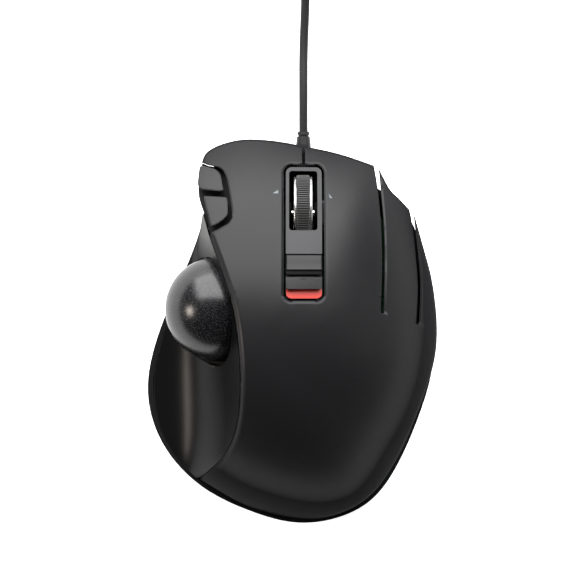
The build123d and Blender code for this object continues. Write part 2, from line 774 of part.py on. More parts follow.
with BuildPart() as tilt_switches:
    with BuildSketch(Plane.XY.offset(YOKE_Z + YOKE_T)):
        with Locations(WHEEL + Vector(4.2, -9), WHEEL + Vector(-4.2, -9)):
            Rectangle(2.6, 3.6)
    extrude(amount=2.8)
    with BuildSketch(Plane.XY.offset(YOKE_Z + YOKE_T + 2.8)):
        with Locations(WHEEL + Vector(4.2, -9), WHEEL + Vector(-4.2, -9)):
            Circle(0.7)
    extrude(amount=0.5)
tilt_switches.part.label = "tilt_switches"
export_step(tilt_switches.part, "parts/tilt_switches.step")

# ---------------------------------------------------------------- bezel and its keys
BEZEL_DROP = 0.9
BEZEL_T = 1.6
WELL_DROP = 4.6  # depth of the bezel's lower shelf, behind the wheel
WELL_T = 1.4
KEY_LEFT, KEY_RIGHT = -1.95, 9.65
FN_FRONT, FN_REAR = 25.3, 18.75
KNOB_FRONT, KNOB_REAR = 17.4, 14.25
KNOB_TRAVEL = 2.0
LABEL_FRONT = 14.1
STEM_Y, STEM_SIZE = 16.9, Vector(1.8, 0.9)
STEM_PLAY = 0.25
TOP_BOARD_Z = 32.5
FN_SWITCH = Vector(MODULE_X, 21.9)
SHELF_LOW, SHELF_TOP = 17.0, 17.4
LEG_Y, LEG_T = 54.9, 0.8
LEG_LEFT, LEG_RIGHT = -2.0, 8.0


def layer(shape, low, high):
    """The part of a flat shape's column between two heights below or above the crown."""
    return prism(shape, 0, 80) & (Pos(0, 0, high) * CROWN_TOP - Pos(0, 0, low) * CROWN_TOP)


slot_limit = box_plan(BEZEL_LOW + Vector(0.35, 0.35), BEZEL_HIGH - Vector(0.35, 0.35), BEZEL_CORNER - 0.35)
bezel_face = slot_limit & box_plan(Vector(BEZEL_LOW.X + 0.35, 25.7), Vector(BEZEL_HIGH.X - 0.35, BEZEL_HIGH.Y - 0.35))
bezel_face = bezel_face - box_plan(Vector(-1.0, 33.4), Vector(8.3, 53.2), 1.0)
well_face = box_plan(Vector(BEZEL_LOW.X + 0.35, 7.6), Vector(BEZEL_HIGH.X - 0.35, 26.9))
well_face = well_face - box_plan(Vector(0.6, 19.3), Vector(7.0, 24.4))
step_face = box_plan(Vector(BEZEL_LOW.X + 0.35, 25.7), Vector(BEZEL_HIGH.X - 0.35, 26.9))
block_face = slot_limit & box_plan(Vector(BEZEL_LOW.X + 0.35, BEZEL_LOW.Y + 0.3), Vector(BEZEL_HIGH.X - 0.35, 18.2))
stem_slit = box_plan(
    Vector(MODULE_X, STEM_Y - KNOB_TRAVEL) - STEM_SIZE / 2 - Vector(STEM_PLAY, STEM_PLAY),
    Vector(MODULE_X, STEM_Y) + STEM_SIZE / 2 + Vector(STEM_PLAY, STEM_PLAY),
)

bezel_layers = [
    layer(bezel_face, -BEZEL_DROP - BEZEL_T, -BEZEL_DROP),
    layer(well_face - stem_slit, -WELL_DROP - WELL_T, -WELL_DROP),
    layer(step_face, -WELL_DROP - WELL_T, -BEZEL_DROP),
    layer(block_face - stem_slit, -WELL_DROP - 0.1, -2.0),
    block(Vector(-0.2, LEG_Y - 1.6, SHELF_LOW), Vector(7.9, BEZEL_HIGH.Y - 0.35, 21.2)),
    block(Vector(LEG_LEFT, LEG_Y - 1.6, SHELF_LOW), Vector(LEG_RIGHT, LEG_Y + LEG_T, SHELF_TOP)),
    block(Vector(LEG_LEFT, LEG_Y, FLOOR_TOP), Vector(LEG_RIGHT, LEG_Y + LEG_T, SHELF_TOP)),
    block(Vector(MODULE_X - 3, 7.6, FLOOR_TOP), Vector(MODULE_X + 3, 9.4, 40.0)),
]
cable_arch = block(Vector(MODULE_X - 3.2, LEG_Y - 1, 0), Vector(MODULE_X + 3.2, LEG_Y + 3, 9.0))
with BuildPart() as wheel_bezel:
    for piece in bezel_layers:
        add(piece)
    add(cable_arch, mode=Mode.SUBTRACT)
wheel_bezel.part.label = "wheel_bezel"
export_step(wheel_bezel.part, "parts/wheel_bezel.step")
print("bezel solids", [round(s.volume) for s in wheel_bezel.part.solids()])

fn_cap = layer(box_plan(Vector(KEY_LEFT, FN_REAR), Vector(KEY_RIGHT, FN_FRONT), 0.5), -2.4, 0)
with BuildPart() as fn_button:
    add(fn_cap)
    with BuildSketch(Plane.XY.offset(TOP_BOARD_Z + 4.2)):
        with Locations(FN_SWITCH):
            Circle(1.6)
    extrude(amount=3.4)
fn_button.part.label = "fn_button"
export_step(fn_button.part, "parts/fn_button.step")

knob_cap = layer(box_plan(Vector(KEY_LEFT, KNOB_REAR), Vector(KEY_RIGHT, KNOB_FRONT), 0.8), -1.25, 0.3)
with BuildPart() as dpi_knob:
    add(knob_cap)
    with BuildSketch(Plane.XY.offset(TOP_BOARD_Z + 3.9)):
        with Locations((MODULE_X, STEM_Y)):
            Rectangle(STEM_SIZE.X, STEM_SIZE.Y)
    extrude(amount=6.8)
dpi_knob.part.label = "dpi_slide_knob"
export_step(dpi_knob.part, "parts/dpi_slide_knob.step")

label_face = slot_limit & box_plan(Vector(KEY_LEFT, BEZEL_LOW.Y + 0.35), Vector(KEY_RIGHT, LABEL_FRONT))
label_sheet = layer(label_face, -1.98, -1.6)
with BuildPart() as dpi_label:
    add(label_sheet)
dpi_label.part.label = "dpi_label"
export_step(dpi_label.part, "parts/dpi_label.step")

with BuildPart() as top_board:
    with BuildSketch(Plane.XY.offset(TOP_BOARD_Z)):
        with Locations((MODULE_X, 17.3)):
            RectangleRounded(10.4, 15.4, 0.6)
    extrude(amount=1.0)
top_board.part.label = "key_board"
export_step(top_board.part, "parts/key_board.step")

with BuildPart() as key_switches:
    with BuildSketch(Plane.XY.offset(TOP_BOARD_Z + 1.0)):
        with Locations(FN_SWITCH):
            Rectangle(4.5, 4.5)
        with Locations((MODULE_X, STEM_Y - 1.3)):
            Rectangle(7.5, 3.4)
    extrude(amount=1.8)
    with BuildSketch(Plane.XY.offset(TOP_BOARD_Z + 2.8)):
        with Locations(FN_SWITCH):
            Circle(1.2)
    extrude(amount=0.5)
key_switches.part.label = "key_switches"
export_step(key_switches.part, "parts/key_switches.step")

# ---------------------------------------------------------------- main board
MICRO = Vector(12.8, 5.8, 6.5)
with BuildPart() as main_board:
    with BuildSketch(Plane.XY.offset(BOARD_Z)):
        Polygon(
            (-21, 54.5), (-8, 54.5), (17, 50.5), (29.5, 39), (37.5, 24), (37.5, 2), (-4, 2), (-4, 24), (-21, 36),
            align=None,
        )
        with Locations(*BOARD_SCREWS):
            Circle(1.1, mode=Mode.SUBTRACT)
        with Locations((MODULE_X, 8.5)):
            Rectangle(7, 2.8, mode=Mode.SUBTRACT)
    extrude(amount=BOARD_T)
main_board.part.label = "main_board"
export_step(main_board.part, "parts/main_board.step")

with BuildPart() as board_screws:
    with BuildSketch(Plane.XY.offset(BOARD_TOP + 0.02)):
        with Locations(*BOARD_SCREWS):
            Circle(1.8)
            Rectangle(2.0, 0.45, mode=Mode.SUBTRACT)
            Rectangle(0.45, 2.0, mode=Mode.SUBTRACT)
    extrude(amount=1.0)
    with BuildSketch(Plane.XY.offset(1.6)):
        with Locations(*BOARD_SCREWS):
            Circle(0.93)
    extrude(amount=BOARD_TOP + 0.4 - 1.6)
board_screws.part.label = "board_screws"
export_step(board_screws.part, "parts/board_screws.step")

with BuildPart() as micro_switches:
    for post, turn in ((LEFT_POST, 0), (RIGHT_POST, 90)):
        with BuildSketch(Plane((post.X, post.Y, BOARD_TOP + 0.02), x_dir=Vector(1, 0, 0).rotate(Axis.Z, turn))):
            Rectangle(MICRO.X, MICRO.Y)
        extrude(amount=MICRO.Z)
        with BuildSketch(Plane.XY.offset(BOARD_TOP + MICRO.Z)):
            with Locations(post):
                Circle(0.9)
        extrude(amount=0.7)
micro_switches.part.label = "main_micro_switches"
export_step(micro_switches.part, "parts/main_micro_switches.step")

BOARD_PARTS = (
    ("wheel_click_switch", Vector(WHEEL.X, WHEEL.Y), Vector(6.0, 3.6, 1.1)),
    ("cable_connector", Vector(-4.3, 50.6), Vector(3.2, 5.4, 3.6)),
    ("controller_chip", Vector(27.0, 20.0), Vector(7.0, 7.0, 0.9)),
)
for name, spot, size in BOARD_PARTS:
    with BuildPart() as board_part:
        with BuildSketch(Plane.XY.offset(BOARD_TOP + 0.02)):
            with Locations(spot):
                Rectangle(size.X, size.Y)
        extrude(amount=size.Z)
    board_part.part.label = name
    export_step(board_part.part, f"parts/{name}.step")

# ---------------------------------------------------------------- cable: relief, run, coil, tail and plug
RELIEF_END = 66.9
RELIEF_GROOVE, GROOVE_WIDE = 65.9, 0.6
with BuildPart() as relief:
    with BuildSketch(Plane((MODULE_X, 0, CORD_Z), x_dir=Vector(0, 1, 0), z_dir=Vector(-1, 0, 0))):
        Polygon(
            (55.1, 0), (55.1, 2.3), (55.8, 2.3), (55.8, 2.05), (59.7, 2.05), (59.7, 2.5), (62.6, RELIEF_R),
            (RELIEF_END, 2.05), (RELIEF_END, 0), align=None,
        )
    revolve(axis=Axis((MODULE_X, 0, CORD_Z), (0, 1, 0)))
    with BuildSketch(Plane.XZ.offset(-RELIEF_GROOVE)):
        with Locations((MODULE_X, CORD_Z)):
            Circle(RELIEF_R + 1)
            Circle(1.8, mode=Mode.SUBTRACT)
    extrude(amount=GROOVE_WIDE, mode=Mode.SUBTRACT)
relief.part.label = "cable_relief"
export_step(relief.part, "parts/cable_relief.step")

COIL_MEAN = 15.8
COIL_PITCH = 2.93
COIL_LIFT = 0.8
COIL_OUT = COIL_MEAN + 1.5 * COIL_PITCH
LAYER_RISE = 2.55
ENTRY = Vector(MODULE_X + 0.7, 124.0, COIL_LIFT + CORD_D / 2)
COIL = Vector(ENTRY.X + COIL_OUT, 136.0)
TAIL = Vector(COIL.X - COIL_MEAN - COIL_PITCH, 150.0, ENTRY.Z + 3 * LAYER_RISE)
RUN_POINTS = [
    (MODULE_X, RELIEF_END, CORD_Z),
    (MODULE_X, 79.2, CORD_Z),
    (MODULE_X, 95.0, 1.5),
    (ENTRY.X, 110.5, 1.5),
    (ENTRY.X, ENTRY.Y, ENTRY.Z),
]
TAIL_POINTS = [
    (TAIL.X, TAIL.Y, TAIL.Z),
    (TAIL.X, TAIL.Y + 7.5, TAIL.Z),
    (TAIL.X + 0.6, TAIL.Y + 18.0, 4.6),
    (TAIL.X + 0.6, TAIL.Y + 27.0, 4.1),
]
PLUG = Vector(*TAIL_POINTS[-1])


def tube(name, points):
    """A round tube along straight runs that arcs join, each arc as large as its two runs allow."""
    places = [Vector(*point) for point in points]
    radii = []
    for before, at, after in zip(places, places[1:], places[2:]):
        turn = math.radians((at - before).get_angle(after - at))
        shorter = min((at - before).length, (after - at).length)
        radii.append(0.45 * shorter / math.tan(turn / 2))
    with BuildLine() as path:
        FilletPolyline(*places, radius=radii)
    route = path.wires()[0]
    with BuildPart() as made:
        with BuildSketch(Plane(route @ 0, z_dir=route % 0)):
            Circle(CORD_D / 2)
        sweep(path=route)
    made.part.label = name
    export_step(made.part, f"parts/{name}.step")
    section = math.pi * CORD_D**2 / 4
    ratio = made.part.volume / section / route.length
    print(name, "radii", [round(r, 1) for r in radii], "length", round(route.length, 1), "volume ratio", round(ratio, 4))
    return route.length


run_length = tube("cable_run", RUN_POINTS)
tail_length = tube("cable_tail", TAIL_POINTS)

COIL_HIGH = 3 * LAYER_RISE + CORD_D
TIE_WIDE, TIE_T = 4.0, 0.7
END_GAP = 0.1
tie_low = Vector(COIL.X + COIL_MEAN - 6.9, COIL.Y - TIE_WIDE / 2, 0.02)
tie_high = Vector(COIL.X + COIL_MEAN + 6.9, COIL.Y + TIE_WIDE / 2, COIL_LIFT + COIL_HIGH + TIE_T + 0.05)
tie_thick = Vector(TIE_T, -1, TIE_T)
tie_hollow = block(tie_low + tie_thick, tie_high - tie_thick)

with BuildPart() as coil:
    with BuildSketch(Plane.XZ.offset(-COIL.Y)):
        with Locations((COIL.X + COIL_MEAN, COIL_LIFT + COIL_HIGH / 2)):
            RectangleRounded(11.8, COIL_HIGH - 0.1, 2.4)
    revolve(axis=Axis((COIL.X, COIL.Y, 0), (0, 0, 1)))
    with BuildSketch(Plane.XZ.offset(-ENTRY.Y - END_GAP)):
        with Locations((ENTRY.X, ENTRY.Z)):
            Circle(CORD_D / 2)
    extrude(amount=ENTRY.Y + END_GAP - COIL.Y)
    with BuildSketch(Plane.XZ.offset(-TAIL.Y)):
        with Locations((TAIL.X, TAIL.Z)):
            Circle(CORD_D / 2)
    extrude(amount=TAIL.Y - COIL.Y)
coil.part.label = "cable_coil"
export_step(coil.part, "parts/cable_coil.step")
print("coil", coil.part.bounding_box(), [round(s.volume) for s in coil.part.solids()])

tie_outside = block(tie_low, tie_high)

with BuildPart() as tie:
    add(tie_outside)
    add(tie_hollow, mode=Mode.SUBTRACT)
tie.part.label = "cable_tie"
export_step(tie.part, "parts/cable_tie.step")

PLUG_BODY = Vector(15.6, 19.0, 8.0)
PLUG_RELIEF = 8.0
BODY_START = PLUG.Y + PLUG_RELIEF
SHELL_START = BODY_START + PLUG_BODY.Y
plug_end = Plane.XZ.offset(-BODY_START)
with BuildPart() as plug_body:
    with BuildSketch(Plane.XZ.offset(-PLUG.Y - END_GAP)):
        with Locations((PLUG.X, PLUG.Z)):
            Circle(1.9)
    with BuildSketch(plug_end):
        with Locations((PLUG.X, PLUG.Z)):
            Circle(2.8)
    loft()
    with BuildSketch(plug_end):
        with Locations((PLUG.X, PLUG.Z)):
            RectangleRounded(PLUG_BODY.X, PLUG_BODY.Z, 1.6)
    extrude(amount=-PLUG_BODY.Y)
plug_body.part.label = "plug_body"
export_step(plug_body.part, "parts/plug_body.step")

with BuildPart() as plug_shell:
    with BuildSketch(Plane.XZ.offset(-SHELL_START)):
        with Locations((PLUG.X, PLUG.Z)):
            Rectangle(12.0, 4.5)
            Rectangle(11.4, 3.9, mode=Mode.SUBTRACT)
    extrude(amount=-12.0)
plug_shell.part.label = "plug_shell"
export_step(plug_shell.part, "parts/plug_shell.step")

with BuildPart() as plug_tongue:
    with BuildSketch(Plane.XZ.offset(-SHELL_START)):
        with Locations((PLUG.X, PLUG.Z - 0.9)):
            Rectangle(11.2, 1.9)
    extrude(amount=-11.5)
plug_tongue.part.label = "plug_tongue"
export_step(plug_tongue.part, "parts/plug_tongue.step")

CONTACT_REACH = 9.0
with BuildPart() as contacts:
    with BuildSketch(Plane.XY.offset(PLUG.Z + 0.07)):
        with Locations((PLUG.X, SHELL_START + CONTACT_REACH / 2 + 1.5)):
            with GridLocations(2.5, 1, 4, 1):
                Rectangle(1.1, CONTACT_REACH)
    extrude(amount=0.2)
contacts.part.label = "plug_contacts"
export_step(contacts.part, "parts/plug_contacts.step")
print("cord length", round(run_length + tail_length + 24 + 14 * math.tau * COIL_MEAN, 1))
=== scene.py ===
import json
import math

import bpy
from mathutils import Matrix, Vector, geometry


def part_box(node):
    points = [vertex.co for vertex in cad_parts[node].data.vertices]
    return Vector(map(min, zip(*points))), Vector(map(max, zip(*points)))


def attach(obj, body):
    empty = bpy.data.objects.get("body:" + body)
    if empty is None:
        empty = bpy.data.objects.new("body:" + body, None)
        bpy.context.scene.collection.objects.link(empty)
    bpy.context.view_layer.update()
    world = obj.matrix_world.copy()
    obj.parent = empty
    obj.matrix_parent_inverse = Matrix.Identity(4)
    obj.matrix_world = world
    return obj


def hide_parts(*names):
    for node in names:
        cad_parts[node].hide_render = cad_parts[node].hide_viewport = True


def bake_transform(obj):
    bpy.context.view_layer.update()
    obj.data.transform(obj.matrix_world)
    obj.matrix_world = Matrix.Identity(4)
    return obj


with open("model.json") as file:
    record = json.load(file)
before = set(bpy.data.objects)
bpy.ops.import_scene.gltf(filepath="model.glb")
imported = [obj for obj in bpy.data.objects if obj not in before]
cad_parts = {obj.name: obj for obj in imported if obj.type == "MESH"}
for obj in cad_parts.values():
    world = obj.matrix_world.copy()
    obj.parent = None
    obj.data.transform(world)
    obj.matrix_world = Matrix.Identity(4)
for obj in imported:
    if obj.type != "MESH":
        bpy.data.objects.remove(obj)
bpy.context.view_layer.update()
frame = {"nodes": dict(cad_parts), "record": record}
MM = 0.001

# ---------------------------------------------------------------- surfaces and outlines of the body, in mm
BODY_TOP = 47.9
SKIRT_Z = 8.4
RIM_TOP = 7.6
SEAM_Y = 12.0
BALL = Vector(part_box("trackball")[0]).lerp(Vector(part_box("trackball")[1]), 0.5) / MM
THUMB_STEP = 2.4  # how far the thumb rest starts below the cover's edge
THUMB_LIP = 0.6  # how far its lower edge stands above the case's rim
FALL_END = 0.93  # sine of the angle on the round past which the crown falls in a straight line
PEAK = (-12.0, -4.0)
CROWN = [  # direction in degrees, reach to the edge, edge height, roundness of the fall
    (0, 60.5, 9.8, 0.93),
    (28, 64.0, 11.0, 0.88),
    (55, 70.5, 13.0, 0.70),
    (75, 68.0, 16.0, 0.58),
    (97, 67.5, 17.0, 0.55),
    (115, 64.0, 16.0, 0.60),
    (145, 54.0, 14.0, 0.75),
    (185, 45.0, 12.0, 0.85),
    (222, 45.5, 9.0, 0.90),
    (247, 49.5, 8.6, 0.93),
    (270, 55.5, 8.5, 0.94),
    (300, 64.7, 8.5, 0.94),
    (325, 60.8, 8.9, 0.94),
]
LEFT_EDGE = [
    (-29.0, 38.9), (-26.7, 30.9), (-24.0, 23.6), (-21.5, 16.3), (-19.2, 8.6), (-17.6, -1.0), (-16.9, -10.0),
    (-16.8, -19.0), (-17.7, -28.5), (-19.9, -36.0), (-23.4, -41.8), (-27.5, -46.0), (-31.0, -49.3),
]
CASE_LEFT = [
    (-28.8, 44.0), (-31.5, 31.9), (-36.3, 19.6), (-41.6, 7.5), (-46.2, -5.5), (-48.3, -18.0), (-46.2, -31.0),
    (-39.5, -43.0), (-28.0, -53.3),
]
FRONT = [
    (-30.0, 56.4), (-28.7, 59.2), (-25.7, 61.4), (-17.3, 63.8), (-7.3, 63.6), (4.0, 61.7), (16.0, 59.1),
    (27.3, 55.4),
]
RING_HORN = [(28.8, 54.8), (30.3, 51.6), (32.7, 47.2), (36.0, 44.0), (39.2, 40.6)]
RIGHT_SIDE = [
    (40.8, 39.1), (44.3, 26.6), (46.8, 16.6), (48.4, 1.0), (47.4, -10.0), (41.1, -28.8), (34.0, -44.3),
    (25.6, -55.2), (13.8, -61.4), (1.4, -62.7), (-13.6, -58.9), (-31.0, -49.3),
]
RECESS = [
    (-30.0, 56.2), (-28.0, 55.3), (-23.7, 54.1), (-22.0, 51.9), (-20.7, 46.6), (-19.7, 39.9), (-19.7, 37.6),
    (-20.7, 35.9), (-23.6, 34.1), (-26.7, 32.2), (-27.0, 31.2),
]
PANEL_LEFT = [
    (-29.3, 39.6), (-31.2, 31.9), (-35.6, 19.6), (-40.3, 7.5), (-44.3, -5.5), (-46.3, -18.0), (-44.4, -31.0),
    (-38.6, -42.0), (-31.6, -49.5),
]
FORWARD = [
    (-31.0, 51.3), (-31.2, 48.9), (-30.5, 47.1), (-26.7, 46.6), (-22.5, 46.3), (-23.0, 48.9), (-23.7, 52.3),
    (-25.3, 53.8), (-28.0, 54.6), (-30.6, 55.2),
]
BACK = [
    (-28.3, 41.0), (-27.1, 36.6), (-26.5, 34.4), (-23.3, 36.1), (-21.3, 37.9), (-21.0, 38.9), (-21.3, 44.3),
    (-26.0, 44.6), (-29.1, 44.8),
]
SLOT_RING = [(28.9, 47.6), (29.8, 35.6), (30.0, 24.0), (29.5, 6.7)]
SLOT_SIDE = [(40.2, 38.0), (41.5, 25.6), (42.1, 15.0), (41.5, 3.1)]
BEZEL_LOW, BEZEL_HIGH, BEZEL_CORNER = (-2.4, 10.8), (10.1, 54.8), 2.3
SLIT_X = 3.8


def hermite(before, low, high, after, at, column):
    """A smooth value between two rows, led by the rows on either side of them."""
    span = high[0] - low[0]
    t = (at - low[0]) / span
    slope_low = (high[column] - before[column]) / (high[0] - before[0]) * span
    slope_high = (after[column] - low[column]) / (after[0] - low[0]) * span
    return (
        (2 * t**3 - 3 * t**2 + 1) * low[column]
        + (t**3 - 2 * t**2 + t) * slope_low
        + (3 * t**2 - 2 * t**3) * high[column]
        + (t**3 - t**2) * slope_high
    )


TURN = [(row[0] + lap, *row[1:]) for lap in (-360, 0, 360) for row in CROWN]


def crown(x, y):
    """Height of the palm cover and the buttons over a plan point."""
    dx, dy = x - PEAK[0], y - PEAK[1]
    angle = math.degrees(math.atan2(dy, dx)) % 360
    k = max(i for i, row in enumerate(TURN) if row[0] <= angle)
    reach, edge, roundness = [hermite(*TURN[k - 1 : k + 3], angle, column) for column in (1, 2, 3)]
    share = math.hypot(dx, dy) / reach
    rounded_share = min(share, FALL_END / roundness)
    base = math.sqrt(1 - roundness**2)
    bow = math.sqrt(1 - (roundness * rounded_share) ** 2)
    slope = roundness**2 * rounded_share / bow
    return edge + (BODY_TOP - edge) * (bow - base - slope * (share - rounded_share)) / (1 - base)


def edge_x(edge, y):
    """Where a smooth outline that runs from front to rear passes a given y."""
    rows = [(-py, px) for px, py in edge]
    rows = [(2 * rows[0][0] - rows[1][0], 2 * rows[0][1] - rows[1][1]), *rows]
    rows.append((2 * rows[-1][0] - rows[-2][0], 2 * rows[-1][1] - rows[-2][1]))
    k = max([i for i, row in enumerate(rows) if row[0] <= -y] + [1])
    k = min(k, len(rows) - 3)
    return hermite(*rows[k - 1 : k + 3], -y, 1)


def thumb(x, y):
    """Height of the thumb rest over a plan point."""
    top_x, rim_x = edge_x(LEFT_EDGE, y), edge_x(CASE_LEFT, y)
    width = max(top_x - rim_x, 5.0)
    u = (top_x - x) / width
    top_z = crown(top_x, y) - THUMB_STEP
    fall = max(1 - u, 0.0) ** (1.1 + width / 16) - 0.25 * max(u - 1, 0)
    return RIM_TOP + THUMB_LIP + (top_z - RIM_TOP - THUMB_LIP) * fall


# ---------------------------------------------------------------- plates that follow the surfaces
def curve(points, step=0.8):
    """A smooth line through points, sampled about every step."""
    ends = [tuple(2 * a - b for a, b in zip(points[0], points[1])), *points]
    ends.append(tuple(2 * a - b for a, b in zip(points[-1], points[-2])))
    line = []
    for k in range(1, len(ends) - 2):
        p0, p1, p2, p3 = (Vector(p) for p in ends[k - 1 : k + 3])
        t0, t1 = (p1 - p0).length ** 0.5, (p2 - p1).length ** 0.5
        t2 = (p3 - p2).length ** 0.5
        m1 = (p2 - p1) + t1 * ((p1 - p0) / t0 - (p2 - p0) / (t0 + t1))
        m2 = (p2 - p1) + t1 * ((p3 - p2) / t2 - (p3 - p1) / (t1 + t2))
        count = max(2, int((p2 - p1).length / step))
        for i in range(count):
            t = i / count
            line.append(
                (2 * t**3 - 3 * t**2 + 1) * p1 + (t**3 - 2 * t**2 + t) * m1
                + (3 * t**2 - 2 * t**3) * p2 + (t**3 - t**2) * m2
            )
    line.append(Vector(points[-1]))
    return [tuple(p) for p in line]


def straight(a, b, step=0.8):
    count = max(1, int(math.dist(a, b) / step))
    return [(a[0] + (b[0] - a[0]) * k / count, a[1] + (b[1] - a[1]) * k / count) for k in range(count + 1)]


def shifted(points, dx):
    return [(x + dx, y) for x, y in points]


def clip(points, low=-99.0, high=99.0):
    return [p for p in points if low <= p[1] <= high]


def arc(cx, cy, r, start, end, count=8):
    spots = [math.radians(start + (end - start) * k / count) for k in range(count + 1)]
    return [(cx + r * math.cos(a), cy + r * math.sin(a)) for a in spots]


def rounded(points, laps=3, step=0.45, cut_back=0.45):
    """A closed outline with its corners cut back and its sides sampled about every step."""
    for _ in range(laps):
        cut = []
        for a, b in zip(points, [*points[1:], points[0]]):
            share = min(0.25, cut_back / max(math.dist(a, b), 0.01))
            cut += [
                (a[0] + (b[0] - a[0]) * share, a[1] + (b[1] - a[1]) * share),
                (b[0] + (a[0] - b[0]) * share, b[1] + (a[1] - b[1]) * share),
            ]
        points = cut
    line = []
    for a, b in zip(points, [*points[1:], points[0]]):
        line += straight(a, b, step)[:-1]
    return [*line, line[0]]


def bar(name, low_x, high_x, rows, height):
    """A short block across the module: rows are (y, drop below the surface) from front to rear."""
    bend, chamfer, thick = 0.35, 0.3, 2.0
    middle = [low_x + (high_x - low_x) * k / 6 for k in range(1, 6)]
    xs = [low_x, low_x + bend, *middle, high_x - bend, high_x]
    verts, faces = [], []
    for y, drop in rows:
        for k, x in enumerate(xs):
            corner = chamfer if k in (0, len(xs) - 1) else 0
            verts.append(Vector((x, y, height(x, y) - drop - corner)) * MM)
    across, along = len(xs), len(rows)
    for r in range(along - 1):
        for k in range(across - 1):
            a = r * across + k
            faces.append((a + across, a + across + 1, a + 1, a))
    top = len(verts)
    verts += [Vector((v.x, v.y, v.z - thick * MM)) for v in verts]
    faces += [tuple(i + top for i in reversed(f)) for f in faces]
    ring = [*range(across), *[r * across + across - 1 for r in range(1, along)]]
    ring += [(along - 1) * across + k for k in range(across - 2, -1, -1)]
    ring += [r * across for r in range(along - 2, 0, -1)]
    faces += [(a, b, b + top, a + top) for a, b in zip(ring, [*ring[1:], ring[0]])]
    return solid_mesh(name, verts, faces, 25)


def solid_mesh(name, verts, faces, crease):
    """A mesh from points and faces, smooth except across edges sharper than crease degrees."""
    mesh = bpy.data.meshes.new(name)
    mesh.from_pydata(verts, [], faces)
    mesh.validate()
    mesh.polygons.foreach_set("use_smooth", [True] * len(mesh.polygons))
    mesh.set_sharp_from_angle(angle=math.radians(crease))
    made = bpy.data.objects.new(name, mesh)
    bpy.context.scene.collection.objects.link(made)
    return made


def lathe(name, centre, loop, steps, crease=30, ribs=0, rib_depth=0.0):
    """A ring turned about an axis along X. loop is a closed line of (x, radius), outer side first."""
    verts, faces = [], []
    outer = max(r for _, r in loop)
    for s in range(steps):
        angle = 2 * math.pi * s / steps
        low = ribs and (s * ribs * 4 // steps) % 4 in (2, 3)
        for x, r in loop:
            reach = r - rib_depth if low and r > outer - 0.6 else r
            verts.append(
                (centre + Vector((x, reach * math.cos(angle), reach * math.sin(angle)))) * MM
            )
    count = len(loop)
    for s in range(steps):
        for k in range(count):
            a, b = s * count + k, s * count + (k + 1) % count
            c, d = (s + 1) % steps * count + k, (s + 1) % steps * count + (k + 1) % count
            faces.append((a, b, d, c))
    return solid_mesh(name, verts, faces, crease)


FAR = 12  # stretches of a line whose ends are both further off than this in x are passed over


def gap_to(p, runs):
    """Distance from a plan point to the nearest of some lines."""
    best = 1e9
    for run in runs:
        for a, b in zip(run, run[1:]):
            if min(abs(p[0] - a[0]), abs(p[0] - b[0])) > FAR:
                continue
            abx, aby = b[0] - a[0], b[1] - a[1]
            t = ((p[0] - a[0]) * abx + (p[1] - a[1]) * aby) / (abx * abx + aby * aby + 1e-12)
            t = min(max(t, 0), 1)
            best = min(best, (p[0] - a[0] - abx * t) ** 2 + (p[1] - a[1] - aby * t) ** 2)
    return math.sqrt(best)


def inside(p, loop):
    """True where a plan point is inside a closed loop."""
    x, y = p
    odd = False
    for (x0, y0), (x1, y1) in zip(loop, [*loop[1:], loop[0]]):
        if (y0 > y) != (y1 > y) and x < x0 + (y - y0) * (x1 - x0) / (y1 - y0):
            odd = not odd
    return odd


ROLL_SHARES = (0.07, 0.25, 0.55, 1.0)  # where a rolled edge has points, as shares of its radius
CLEAR_SHARE = 0.93  # such a point is left out if another line is nearer than this share of its distance
ROW_SHARE = 0.87  # height of an equal-sided triangle over its side
NEAREST_SHARE = 0.45  # how near to a line without a rolled edge the inner points come, as a share of step
SLOPE_PROBE = 0.03  # how far apart the heights are that give the slope


